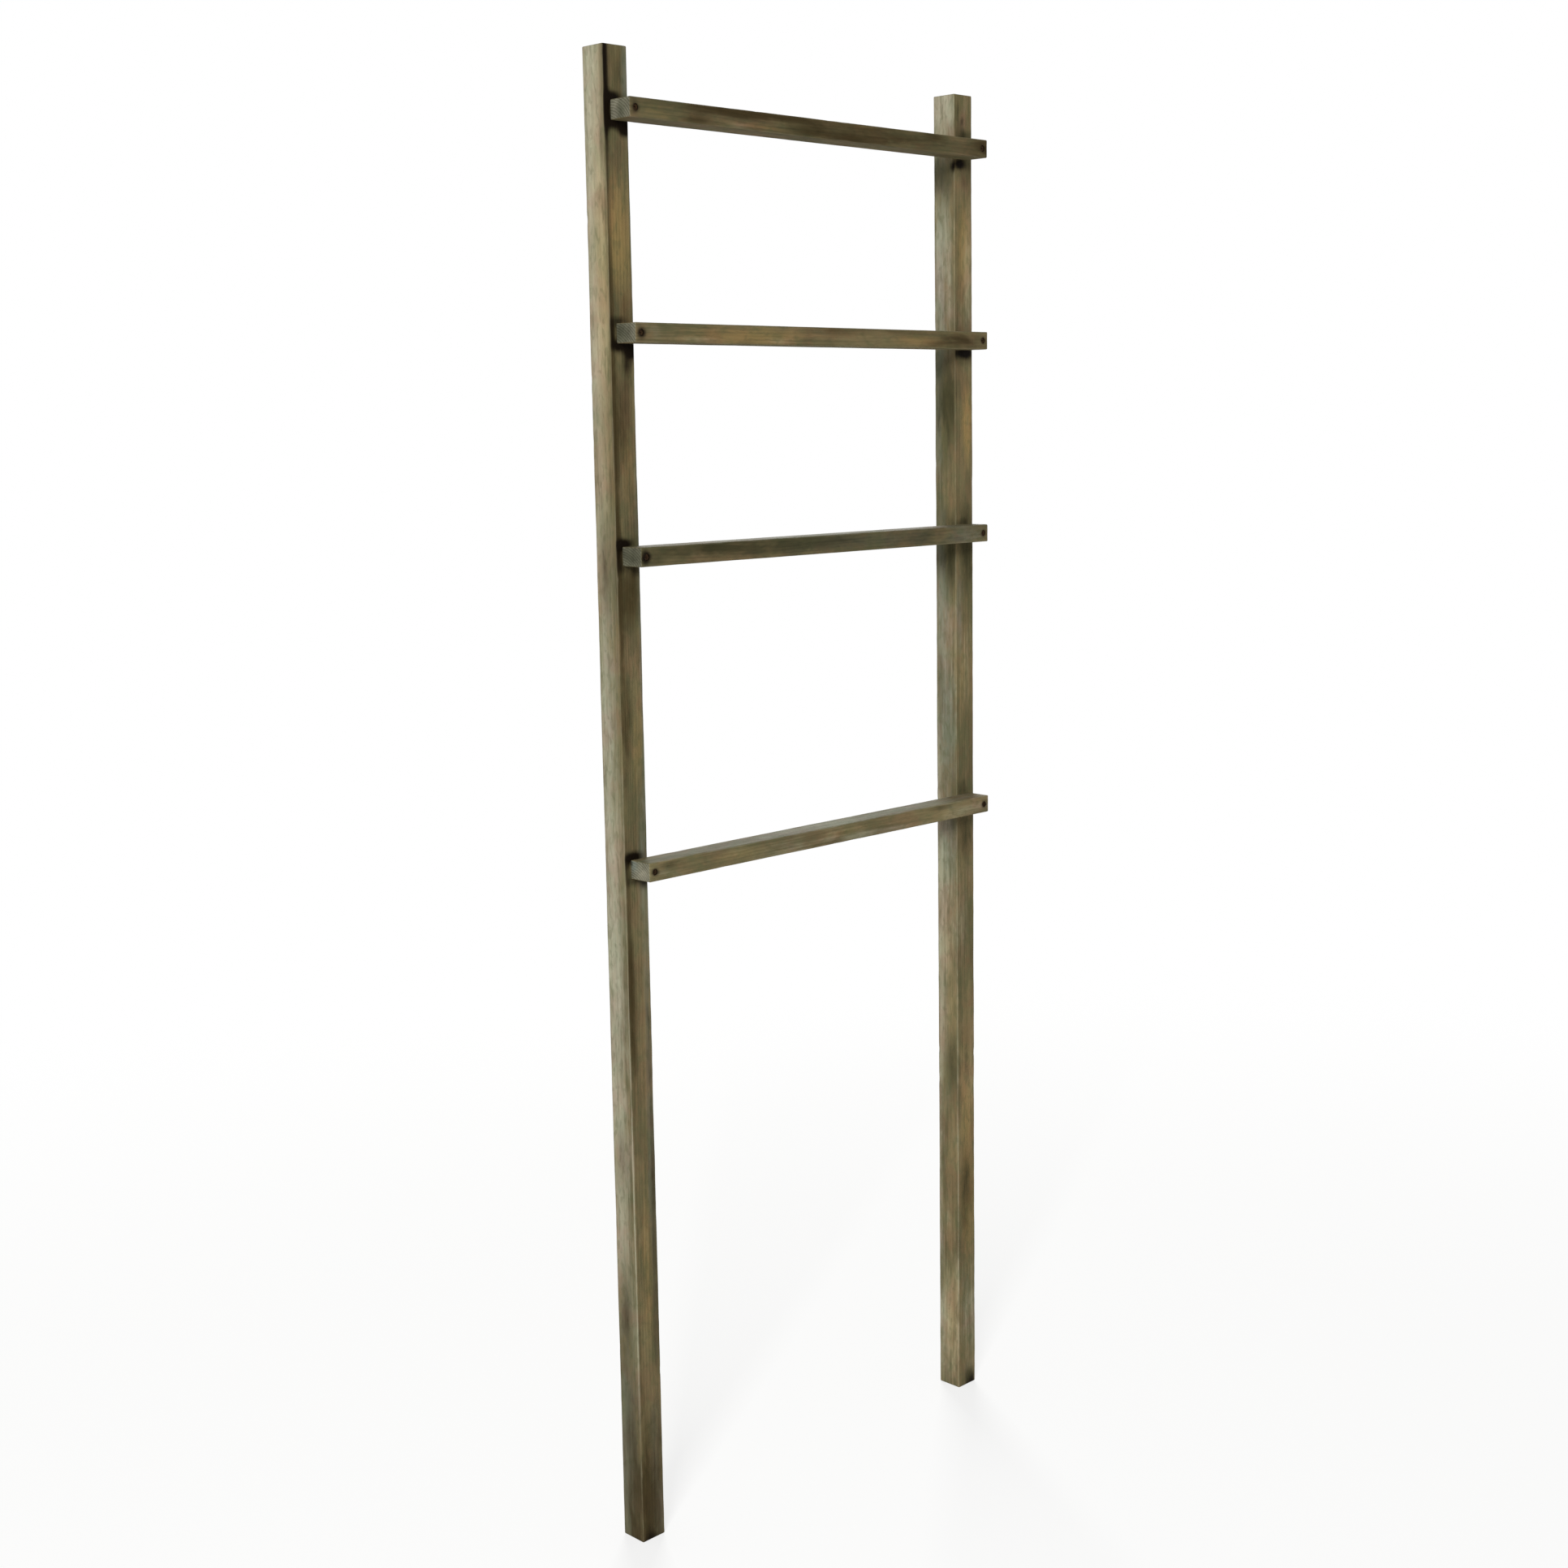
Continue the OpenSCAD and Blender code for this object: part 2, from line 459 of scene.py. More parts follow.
def tone(red, green, blue):
    """A colour given as it looks on a screen, from 0 to 255, as the linear colour that shaders use."""
    share = np.array([red, green, blue]) / 255
    linear = np.where(share <= 0.04045, share / 12.92, ((share + 0.055) / 1.055) ** 2.4)
    return (*linear.tolist(), 1.0)


WHITE = tone(255, 255, 255)

# Colours of the wood's long faces: plain, worn to gold, weathered to grey green, reddish, bleached
# (and on the rails' left faces partly painted light), blotched, two faint tints that it is multiplied
# by, its worn edges, and the near-black of stain with painted shadow and shade at joints and holes
PLAIN_DARK, PLAIN_PALE = tone(86, 80, 56), tone(109, 97, 69)
GOLDEN = tone(132, 110, 70)
GREY_GREEN = tone(106, 107, 92)
REDDISH = tone(112, 88, 70)
BLEACHED_AND_LIT_GREY, BLEACHED_AND_LIT_GOLD = tone(164, 160, 140), tone(164, 148, 112)
BLOTCH_BROWN, BLOTCH_GREEN = tone(112, 90, 62), tone(86, 87, 60)
ROSE_TINT, GREEN_TINT = tone(255, 234, 240), tone(234, 255, 246)
WORN_EDGE = tone(140, 134, 112)
SHADOW_AND_STAIN = tone(16, 10, 4)
# The stain where it has stayed dark, and on the right rail the painted shade and shadow round the top rung
BROWN = tone(54, 44, 24)
OLIVE = tone(50, 48, 30)
# Colours of the end grain
END_PALE, END_DARK = tone(108, 106, 90), tone(76, 74, 60)
END_PORES = tone(54, 51, 40)
END_SHADED = tone(54, 56, 42)
END_BLEACHED = tone(160, 153, 136)
END_GREY = tone(92, 104, 100)


class Signal:
    """A value in a node tree, on which Python's operators add Math nodes."""

    def __init__(self, paint, socket):
        self.paint = paint
        self.socket = socket

    def __add__(self, other):
        return self.paint.math("ADD", self, other)

    def __sub__(self, other):
        return self.paint.math("SUBTRACT", self, other)

    def __rsub__(self, other):
        return self.paint.math("SUBTRACT", other, self)

    def __mul__(self, other):
        return self.paint.math("MULTIPLY", self, other)

    def __truediv__(self, other):
        return self.paint.math("DIVIDE", self, other)

    __radd__ = __add__
    __rmul__ = __mul__


class Paint:
    """The node tree of a material or a world. Every node in it comes from the method node."""

    def __init__(self, owner):
        owner.use_nodes = True
        self.owner = owner
        self.tree = owner.node_tree
        self.tree.nodes.clear()

    def node(self, kind, settings, inputs):
        """A node of a kind, with its settings first and then the values or links of its sockets."""
        made = self.tree.nodes.new("ShaderNode" + kind)
        for setting, value in settings.items():
            setattr(made, setting, value)
        for socket, value in inputs.items():
            if isinstance(value, Signal):
                self.tree.links.new(value.socket, made.inputs[socket])
            else:
                made.inputs[socket].default_value = value
        return made

    def signal(self, kind, settings, inputs, output=0):
        """What one output of a new node gives."""
        return Signal(self, self.node(kind, settings, inputs).outputs[output])

    def math(self, operation, a, b=0.0):
        """A Math node on two values."""
        return self.signal("Math", {"operation": operation}, {0: a, 1: b})

    def place(self):
        """The point's own coordinates, in metres."""
        return self.signal("TexCoord", {}, {}, "Object")

    def mask(self, name):
        """A mask that the mesh carries as an attribute."""
        return self.signal("Attribute", {"attribute_name": name}, {}, "Fac")

    def scaled(self, place, scale, offset):
        """Coordinates times a scale for each axis, moved by an offset so that no two bars are alike."""
        stretched = self.signal("VectorMath", {"operation": "MULTIPLY"}, {0: place, 1: scale})
        return self.signal("VectorMath", {"operation": "ADD"}, {0: stretched, 1: offset})

    def noise(self, place, detail, roughness=0.5, distortion=0.0):
        """Noise from 0 to 1 with features about one unit of its coordinates in size."""
        inputs = {"Vector": place, "Scale": 1.0, "Detail": detail}
        inputs.update({"Roughness": roughness, "Distortion": distortion})
        return self.signal("TexNoise", {}, inputs)

    def band(self, value, low, high):
        """Rises smoothly from 0 at low to 1 at high."""
        settings = {"interpolation_type": "SMOOTHSTEP"}
        return self.signal("MapRange", settings, {0: value, 1: low, 2: high})

    def mix(self, factor, a, b, blend="MIX"):
        """Colour a turned into colour b by a factor."""
        settings = {"data_type": "RGBA", "blend_type": blend}
        return self.signal("Mix", settings, {0: factor, 6: a, 7: b}, 2)

    def grey(self, value):
        """A value as a colour."""
        return self.signal("CombineColor", {}, {0: value, 1: value, 2: value})

    def bump(self, height, strength, distance):
        """A normal that follows a height from 0 to 1, which stands for a distance in metres."""
        return self.signal("Bump", {}, {"Strength": strength, "Distance": distance, "Height": height})

    def seen_directly(self):
        """1 for rays from the camera, a mirror or glass, and 0 for the light that falls on the object."""
        rays = self.node("LightPath", {}, {})
        seen = Signal(self, rays.outputs["Is Camera Ray"])
        for other in ("Is Glossy Ray", "Is Transmission Ray"):
            seen = self.math("MAXIMUM", seen, Signal(self, rays.outputs[other]))
        return seen

    def finish(self, shader, kind="OutputMaterial"):
        """The material or world, with a shader on its surface."""
        self.node(kind, {}, {"Surface": shader})
        return self.owner


class WoodPaint(Paint):
    """Weathered softwood under a thin dark stain that has worn and taken unevenly.

    In a bar's look, gold, grey and shade are the shares of the bare surface where the stain has worn
    to a golden brown, weathered to grey green, or stayed dark. Dark is its colour there, and level
    and end are how light the faces and the ends of the bar are. Slow patches turn the hue a little
    towards rose or green. The mesh's own masks add the marks that have a place of their own, the
    reddish and bleached ones among them. The pale marks on the rails' left faces are partly painted
    light from the left, the dark marks round the right rail's top rung are painted shade and shadow,
    and the near-black marks are stain with painted shadow and shade at the joints and screw holes.
    """

    def __init__(self, name, axes, seed, look):
        super().__init__(bpy.data.materials.new(name))
        self.axes = axes
        self.look = look
        self.offset = tuple(np.random.default_rng(seed).uniform(-40.0, 40.0, 3).tolist())
        self.spot = self.place()
        self.fibres = self.grain(0.9, 30.0, 3.0, 0.6)
        self.streaks = self.grain(3.5, 110.0, 3.0, 0.6, 0.3)
        self.clouds = self.grain(15.0, 50.0, 3.0, 0.55, 0.6)
        self.drifts = self.grain(28.0, 150.0, 2.0)
        self.flecks = self.grain(0.7, 9.0, 2.0)
        self.blotches = self.grain(6.0, 15.0, 2.0, 0.5, 0.5)
        self.hues = self.grain(30.0, 42.0, 2.0, 0.55, 0.5)
        self.cracks = self.band(self.grain(1.1, 55.0, 2.0, 0.6, 0.4), 0.67, 0.73)
        self.pores = self.band(self.flecks, 0.6, 0.75)
        self.late = self.late_wood()
        self.bleached_and_lit = self.marked("bleach_and_light", -0.1, 1.2)

    def grain(self, across, along, detail, roughness=0.5, distortion=0.0):
        """Noise with a feature size in millimetres across the grain and along it."""
        scale = [1 / (across * MM)] * 3
        scale[self.axes[2]] = 1 / (along * MM)
        place = self.scaled(self.spot, tuple(scale), self.offset)
        return self.noise(place, detail, roughness, distortion)

    def late_wood(self):
        """The dark part of each growth ring, 3 mm apart: it sets in slowly and ends sharply."""
        rings = self.mask("rings") + self.streaks * 2.0 + self.drifts * 3.0
        part = self.math("FRACT", rings / 3.0)
        return self.band(part, 0.35, 0.9) * (1.0 - self.band(part, 0.9, 1.0))

    def marked(self, mask, share, soft):
        """Where a mark or a share of the bare surface shows, with an edge that the grain breaks up."""
        cover = self.mask(mask) * 0.9 + share + (self.clouds - 0.5) * 0.75 + (self.streaks - 0.5) * 0.5
        return self.band(cover, 0.5 - soft / 2, 0.5 + soft / 2)

    def face_colour(self):
        """The long faces: plain wood, then each layer over it, and last the worn edges."""
        ground = self.band(self.drifts * 0.6 + self.streaks * 0.4, 0.38, 0.62)
        colour = self.mix(ground, PLAIN_DARK, PLAIN_PALE)
        colour = self.mix(self.marked("gold", self.look["gold"], 0.7) * 0.85, colour, GOLDEN)
        colour = self.mix(self.marked("grey", self.look["grey"], 0.7) * 0.85, colour, GREY_GREEN)
        colour = self.mix(self.marked("red", -0.2, 0.8) * 0.8, colour, REDDISH)
        # Pale where the stain has bleached, and on the rails' left faces also painted light from the left
        bleach_and_light = self.mix(self.mask("gold"), BLEACHED_AND_LIT_GREY, BLEACHED_AND_LIT_GOLD)
        colour = self.mix(self.bleached_and_lit, colour, bleach_and_light)
        colour = self.mix(self.band(self.blotches, 0.5, 0.68) * 0.15, colour, BLOTCH_BROWN)
        colour = self.mix(self.band(self.blotches, 0.5, 0.34) * 0.3, colour, BLOTCH_GREEN)
        colour = self.mix(self.band(self.hues, 0.48, 0.66) * 0.45, colour, ROSE_TINT, "MULTIPLY")
        colour = self.mix(self.band(self.hues, 0.52, 0.34) * 0.3, colour, GREEN_TINT, "MULTIPLY")
        shaded = self.marked("shade", self.look["shade"], 0.7)
        colour = self.mix(shaded * 0.9, colour, self.look["dark"])
        edge = self.mask("edge") + (self.fibres - 0.5) * 1.2 + (self.clouds - 0.5) * 1.4
        return self.mix(self.band(edge, 0.55, 1.1) * 0.22, colour, WORN_EDGE)

    def face_level(self):
        """How light the long faces are: less in late wood, pores, cracks and some fibres and blotches."""
        fine = self.late * 0.1 + self.pores * 0.1 + (0.5 - self.fibres) * 0.25 + (0.5 - self.blotches) * 0.3
        return self.look["level"] - fine * (1.0 - self.bleached_and_lit * 0.7) - self.cracks * 0.2

    def end_colour(self):
        """The end grain: growth rings and pores, then the marks on the end."""
        colour = self.mix(self.late, END_PALE, END_DARK)
        colour = self.mix(self.band(self.flecks, 0.5, 0.7) * 0.6, colour, END_PORES)
        colour = self.mix(self.mask("shade") * 0.75, colour, END_SHADED)
        colour = self.mix(self.mask("bleach_and_light") * 0.75, colour, END_BLEACHED)
        colour = self.mix(self.mask("grey") * 0.6, colour, END_GREY)
        level = self.clouds * 1.2 + (self.look["end"] - 0.6)
        return self.mix(1.0, colour, self.grey(level), "MULTIPLY")

    def shader(self):
        """The faces, the ends and the near-black of the joints and holes, which is stain with painted shadow
        and shade, in one surface, with a bump along the grain.
        """
        end = self.mask("end")
        shadow_and_stain = self.mask("shadow_and_stain") + (self.clouds - 0.5) * 0.5 + (self.fibres - 0.5) * 0.2
        shadow_and_stain = self.band(shadow_and_stain, 0.15, 0.8)
        colour = self.mix(1.0, self.face_colour(), self.grey(self.face_level()), "MULTIPLY")
        colour = self.mix(end, colour, self.end_colour())
        # Near-black where the joints and screw holes are marked: stain, with painted shadow and shade
        colour = self.mix(shadow_and_stain, colour, SHADOW_AND_STAIN)
        roughness = 0.66 + self.fibres * 0.2 - shadow_and_stain * 0.12 + end * 0.1
        height = self.late * 0.5 + self.fibres * 0.5 - self.pores * 0.4 + self.streaks * 0.5
        normal = self.bump(height - self.cracks * 0.8, 0.6, 0.4 * MM)
        inputs = {"Base Color": colour, "Roughness": roughness, "Normal": normal, "Specular IOR Level": 0.04}
        return self.signal("BsdfPrincipled", {}, inputs)


def stained_wood(name, axes, seed, look):
    """The wood of one bar."""
    paint = WoodPaint(name, axes, seed, look)
    return paint.finish(paint.shader())


def dark_steel(name):
    """Tarnished screw steel: dark and uneven, brighter where a driver has rubbed it."""
    paint = Paint(bpy.data.materials.new(name))
    place = paint.place()
    clouds = paint.noise(paint.scaled(place, (700.0,) * 3, (3.0, 7.0, 1.0)), 3.0)
    scratches = paint.noise(paint.scaled(place, (3000.0, 3000.0, 400.0), (0.0, 0.0, 0.0)), 2.0)
    colour = paint.mix(paint.band(clouds, 0.4, 0.65), tone(40, 27, 14), tone(66, 48, 29))
    normal = paint.bump(scratches, 0.2, 0.05 * MM)
    inputs = {"Base Color": colour, "Roughness": clouds * 0.3 + 0.5, "Metallic": 0.9, "Normal": normal}
    return paint.finish(paint.signal("BsdfPrincipled", {}, inputs))


def pale_floor(name, fade_from, fade_to):
    """Matt white that glows to the camera, so that the floor goes over into the white around it.

    The glow grows with the distance from the ladder, in metres, and the floor near the ladder keeps
    its shadow.
    """
    paint = Paint(bpy.data.materials.new(name))
    split = paint.node("SeparateXYZ", {}, {0: paint.place()})
    x, y = Signal(paint, split.outputs[0]), Signal(paint, split.outputs[1])
    far = paint.band(paint.math("SQRT", x * x + y * y), fade_from, fade_to)
    matt = paint.signal("BsdfDiffuse", {}, {"Color": tone(243, 243, 241)})
    glow = paint.signal("Emission", {}, {"Color": WHITE, "Strength": 1.0})
    share = paint.seen_directly() * (far * 0.3 + 0.7)
    return paint.finish(paint.signal("MixShader", {}, {0: share, 1: matt, 2: glow}))


def white_surround(name, strength):
    """A world that is plain white to the camera and lights the object evenly at a lower strength."""
    paint = Paint(bpy.data.worlds.new(name))
    level = paint.seen_directly() * (1.0 - strength) + strength
    back = paint.signal("Background", {}, {"Color": WHITE, "Strength": level})
    bpy.context.scene.world = paint.finish(back, "OutputWorld")


def soft_lamp(name, place, aim, size, power):
    """A square lamp at a place, turned towards its aim."""
    lamp = bpy.data.lights.new(name, "AREA")
    lamp.size = size
    lamp.energy = power
    made = add_object(name, lamp)
    made.location = place
    made.rotation_euler = (Vector(aim) - Vector(place)).to_track_quat("-Z", "Y").to_euler()


def studio_floor(half, material):
    """A square floor under the ladder."""
    mesh = bpy.data.meshes.new("studio_floor")
    corners = [(-half, -half, 0.0), (half, -half, 0.0), (half, half, 0.0), (-half, half, 0.0)]
    mesh.from_pydata(corners, [], [(0, 1, 2, 3)])
    mesh.materials.append(material)
    add_object("studio_floor", mesh)


def photo_camera():
    """The photograph's viewpoint, found by fitting the ladder's edges in a frame 1932 pixels wide."""
    frame_px = 1932
    focal_px = 2679.2
    axis_row_px = 935
    sensor_mm = 36.0
    place = (-1.9689, -1.9269, 1.3729)
    yaw, pitch, roll = (math.radians(a) for a in (44.867, -8.719, -0.928))
    camera = bpy.data.cameras.new("photo_camera")
    camera.sensor_width = sensor_mm
    camera.lens = focal_px * sensor_mm / frame_px
    camera.shift_y = (axis_row_px - frame_px / 2) / frame_px
    turn = Matrix.Rotation(-yaw, 4, "Z") @ Matrix.Rotation(math.pi / 2 + pitch, 4, "X")
    made = add_object("photo_camera", camera)
    made.matrix_world = Matrix.Translation(place) @ turn @ Matrix.Rotation(roll, 4, "Z")
    bpy.context.scene.camera = made


photo_camera()

RUNG_HEIGHTS = [middle_of(rung)[2] for rung in RUNGS]
HOLE_PLACES = [round(middle_of(screw)[0], 3) for screw in ("top_left_screw", "top_right_screw")]


def joint_shadows_and_stains(under, over, beside):
    """Dark on a rail's front at each rung: painted shadow under it, painted shade beside its end, and
    painted shade with stain over it.

    Under a rung it reaches further down towards the middle of the ladder. Each argument gives a
    strength for each rung, from the top one down.
    """
    ovals = []
    for height, below, above, end in zip(RUNG_HEIGHTS, under, over, beside):
        ovals.append((FRONT, height - 14, -6, 8, 15, 0.9 * below))
        ovals.append((FRONT, height - 19, 13, 11, 12, below))
        ovals.append((FRONT, height + 14, -5, 8, 16, above))
        ovals.append((FRONT, height, -15, 17, 6.5, end))
    return ovals


def hole_shade_and_stains():
    """Dark on a rung's front round each of its screw holes: stain round the hole and painted shade in its
    sunk part.
    """
    return [(FRONT, hole, 0, 7, 6, 0.75) for hole in HOLE_PLACES]


# Marks on the bars, as soft ovals. An oval has a face, its place along the bar, its offset from the
# face's middle line, half its length and half its width, in millimetres, and its strength. On an end
# face its first two numbers are its places across the bar and in its depth. A rail's marks go from
# its top down and a rung's from left to right, face by face.
MARKS = {
    "left_rail": {
        "shadow_and_stain": [
            # Painted shadow and shade at the joints and under the second rung, a dark streak down the
            # front's left edge, and dark at the foot
            *joint_shadows_and_stains(under=(1, 1, 0.5, 0.6), over=(0.9, 0.6, 1, 1), beside=(1, 0.65, 0.6, 0.55)),
            (FRONT, 1800, -15.5, 110, 6.5, 0.75), (FRONT, 1700, -16, 60, 5, 0.55),
            (FRONT, 1442, 6, 14, 12, 0.5), (FRONT, 30, -10, 60, 8, 0.3), (FRONT, 0, -4, 12, 14, 0.6),
            (LEFT, 0, -8, 8, 14, 0.4),
        ],
        "bleach_and_light": [
            # On the left face these are partly painted light from the left, with real bleaching
            (FRONT, 380, -18, 420, 1.8, 0.5), (FRONT, 40, 12, 34, 6, 0.7),
            (RIGHT, 1300, 6, 380, 14, 0.5), (BACK, 900, 0, 600, 16, 0.5), (LEFT, 1760, 4, 360, 22, 0.9),
            (LEFT, 1480, 8, 200, 20, 0.6), (LEFT, 1120, 8, 240, 20, 0.5), (LEFT, 760, 8, 330, 22, 0.8),
            (LEFT, 440, 6, 200, 18, 0.6), (LEFT, 380, -18, 420, 1.8, 0.7),
            (LEFT, 285, -14, 80, 6, 0.35),
        ],
        "gold": [
            (FRONT, 1600, -9, 60, 6, 0.7), (FRONT, 1580, 2, 80, 15, 0.9), (FRONT, 1330, 3, 60, 12, 0.4),
            (FRONT, 1020, 10, 50, 10, 0.5), (FRONT, 960, 5, 60, 12, 0.3), (FRONT, 640, 4, 110, 9, 0.2),
            (FRONT, 430, 2, 90, 12, 0.3), (FRONT, 330, 0, 80, 12, 0.45), (RIGHT, 650, 0, 180, 14, 0.5),
            (BACK, 1500, -4, 140, 12, 0.5), (LEFT, 1790, -12, 60, 14, 0.2),
            (LEFT, 1560, -6, 170, 16, 0.7), (LEFT, 1330, -6, 120, 16, 0.35),
        ],
        "grey": [
            (FRONT, 1760, 14, 60, 6, 0.9), (FRONT, 1600, 17, 150, 2, 0.6),
            (FRONT, 1200, 13, 80, 6, 0.3), (FRONT, 1100, 16, 300, 3, 0.6),
            (FRONT, 850, 10, 130, 9, 0.7), (FRONT, 670, 12, 90, 6, 0.5), (FRONT, 470, 10, 120, 8, 0.5),
            (FRONT, 380, 13, 220, 6, 0.5), (FRONT, 60, 4, 130, 14, 0.7), (LEFT, 1050, 4, 160, 14, 0.5),
            (LEFT, 120, 6, 220, 24, 0.7), (LEFT, 40, 0, 130, 20, 0.4),
        ],
        "red": [
            (FRONT, 1770, -8, 30, 8, 0.6), (FRONT, 1640, 4, 40, 10, 0.5), (FRONT, 1520, 0, 36, 16, 0.6),
            (FRONT, 1400, 0, 60, 14, 0.7), (FRONT, 1240, 4, 60, 12, 0.4), (FRONT, 700, 4, 90, 10, 0.2),
            (FRONT, 520, -4, 90, 8, 0.15),
        ],
        "shade": [
            (FRONT, 1780, 0, 60, 20, 0.5), (FRONT, 1520, 0, 30, 14, 0.45),
            (FRONT, 1500, -16, 200, 4, 0.5), (FRONT, 1450, 8, 90, 9, 0.35),
            (FRONT, 1385, -4, 70, 14, 0.6), (FRONT, 1300, -14, 300, 5, 0.9),
            (FRONT, 1215, 12, 60, 7, 0.4), (FRONT, 1180, 0, 50, 20, 0.8),
            (FRONT, 1035, -8, 70, 10, 0.65), (FRONT, 720, -13, 160, 6, 0.9),
            (FRONT, 670, 13, 80, 5, 0.4), (FRONT, 660, -8, 70, 10, 0.4), (FRONT, 400, 13, 220, 7, 0.7),
            (FRONT, 300, -15, 200, 4, 0.4), (FRONT, 60, 12, 90, 9, 0.6), (FRONT, 40, -8, 150, 20, 1),
            (LEFT, 1780, -20, 100, 11, 0.5), (LEFT, 1550, 0, 60, 10, 0.35),
            (LEFT, 1380, -2, 70, 14, 0.35), (LEFT, 1210, 2, 60, 12, 0.55),
            (LEFT, 1120, 0, 150, 16, 0.25), (LEFT, 1080, -20, 460, 10, 0.35),
            (LEFT, 490, 4, 60, 14, 0.5), (LEFT, 290, 4, 80, 14, 0.65), (LEFT, 160, 0, 80, 20, 0.3),
            (LEFT, 30, -6, 150, 22, 0.9),
        ],
    },
    "right_rail": {
        "shadow_and_stain": [
            # Painted shadow and shade at the joints, under the top two rungs and on the left face under the
            # top one, with thin dark streaks, a dark knot and dark at the foot
            *joint_shadows_and_stains(under=(0.15, 0.1, 0.1, 0.1), over=(0.45, 0.2, 0.5, 0.3), beside=(0, 0, 0, 0)),
            (FRONT, 1780, -10, 26, 2.5, 0.5), (FRONT, 1766, -2, 8, 5, 0.5),
            (FRONT, 1711, -7, 8, 14, 0.9), (FRONT, 1465, 0, 8, 22, 1), (FRONT, 1415, -16, 40, 3, 0.5),
            (FRONT, 880, -6, 12, 12, 0.4), (FRONT, 0, 8, 14, 12, 0.7), (LEFT, 1708, -18, 10, 8, 0.8),
        ],
        "bleach_and_light": [
            (FRONT, 1570, 8, 80, 12, 0.5), (FRONT, 1040, 0, 60, 10, 0.25),
            (FRONT, 700, -8, 60, 10, 0.25), (FRONT, 480, 6, 90, 18, 0.4), (FRONT, 110, 0, 90, 16, 0.35),
            (FRONT, 90, 12, 80, 7, 0.35), (RIGHT, 1500, 0, 320, 30, 0.7), (RIGHT, 700, 6, 420, 16, 0.6),
            (BACK, 1100, 0, 500, 14, 0.4), (LEFT, 1790, 4, 70, 36, 0.8), (LEFT, 1590, 8, 130, 20, 0.55),
            (LEFT, 1560, -8, 80, 8, 0.4), (LEFT, 1080, 0, 80, 20, 0.4), (LEFT, 880, 16, 80, 8, 0.5),
            (LEFT, 680, -10, 80, 8, 0.35), (LEFT, 660, 8, 240, 15, 0.55), (LEFT, 500, 18, 500, 7, 0.5),
            (LEFT, 300, -18, 380, 1.6, 0.6), (LEFT, 90, 0, 110, 40, 0.5),
        ],
        "gold": [
            (FRONT, 1600, 2, 70, 14, 0.8), (FRONT, 1370, 6, 50, 12, 0.9),
            (FRONT, 1040, -4, 70, 10, 0.4), (FRONT, 440, 2, 140, 16, 0.7), (FRONT, 260, 2, 90, 14, 0.6),
            (RIGHT, 1150, -4, 120, 12, 0.5), (BACK, 600, 4, 160, 12, 0.5),
            (LEFT, 600, -4, 130, 12, 0.35), (LEFT, 100, -6, 100, 16, 0.5),
        ],
        "grey": [
            (FRONT, 1120, -10, 90, 9, 0.5), (RIGHT, 250, 0, 260, 24, 0.7),
            (BACK, 1500, 0, 260, 24, 0.6), (LEFT, 1560, 8, 120, 14, 0.7), (LEFT, 1390, 12, 90, 10, 0.7),
            (LEFT, 1150, 8, 120, 14, 0.8), (LEFT, 960, 0, 90, 20, 0.8), (LEFT, 800, 0, 70, 20, 0.7),
            (LEFT, 150, 14, 150, 7, 0.5),
        ],
        "red": [
            (FRONT, 1766, -1, 20, 12, 1), (FRONT, 1680, 0, 60, 16, 0.7), (FRONT, 1500, 0, 30, 18, 0.5),
            (FRONT, 1010, 6, 90, 10, 0.25), (FRONT, 640, 4, 60, 10, 0.15),
            (LEFT, 1620, -8, 70, 10, 0.5), (LEFT, 1540, -6, 60, 10, 0.4),
        ],
        "shade": [
            # The marks just over and under the top rung, on the front and on the left face, are painted
            # shade and shadow
            (FRONT, 1780, -12, 30, 9, 0.5), (FRONT, 1748, 4, 10, 18, 0.8),
            (FRONT, 1690, 2, 16, 18, 0.5), (FRONT, 1205, 6, 70, 22, 0.85), (FRONT, 805, 0, 45, 20, 0.7),
            (FRONT, 500, 2, 80, 12, 0.6), (FRONT, 290, 0, 90, 16, 0.75), (FRONT, 10, 6, 20, 16, 0.8),
            (LEFT, 1690, 0, 36, 40, 0.6), (LEFT, 1400, -2, 70, 30, 0.85),
            (LEFT, 1200, -8, 70, 20, 0.85), (LEFT, 1033, 12, 60, 9, 0.45),
            (LEFT, 850, -12, 60, 10, 0.5), (LEFT, 480, -6, 60, 16, 0.6), (LEFT, 350, 4, 60, 14, 0.2),
        ],
    },
    "top_rung": {
        "shadow_and_stain": [*hole_shade_and_stains(), (FRONT, -305, 0, 6, 12, 0.2)],
        "bleach_and_light": [
            (FRONT, -139, -8, 20, 4, 0.4), (TOP, -64, 0, 200, 30, 0.4), (START, -2, 8, 14, 4, 0.15),
        ],
        "gold": [
            (FRONT, -267, 0, 30, 12, 0.5), (FRONT, -118, -6, 60, 5, 0.6), (FRONT, 64, 8, 60, 4, 0.5),
        ],
        "grey": [(TOP, 0, 0, 300, 30, 0.5)],
        "red": [
            (FRONT, -128, -6, 40, 6, 0.7), (FRONT, 118, 0, 60, 9, 0.5), (FRONT, 214, 0, 40, 9, 0.4),
        ],
        "shade": [
            (FRONT, -208, -7, 30, 5, 0.4), (FRONT, -208, 2, 26, 10, 0.25), (FRONT, -139, 5, 26, 7, 0.3),
            (FRONT, -118, 8, 110, 5, 0.9), (FRONT, -11, -4, 50, 8, 0.5), (FRONT, 53, -7, 30, 5, 0.4),
            (FRONT, 96, 0, 120, 14, 0.5), (FRONT, 201, 6, 30, 5, 0.4), (FRONT, 301, 0, 24, 14, 0.6),
            (START, -2, -2, 10, 7, 0.85),
        ],
    },
    "second_rung": {
        "shadow_and_stain": [*hole_shade_and_stains(), (FRONT, -302, -4, 9, 12, 0.25)],
        "bleach_and_light": [
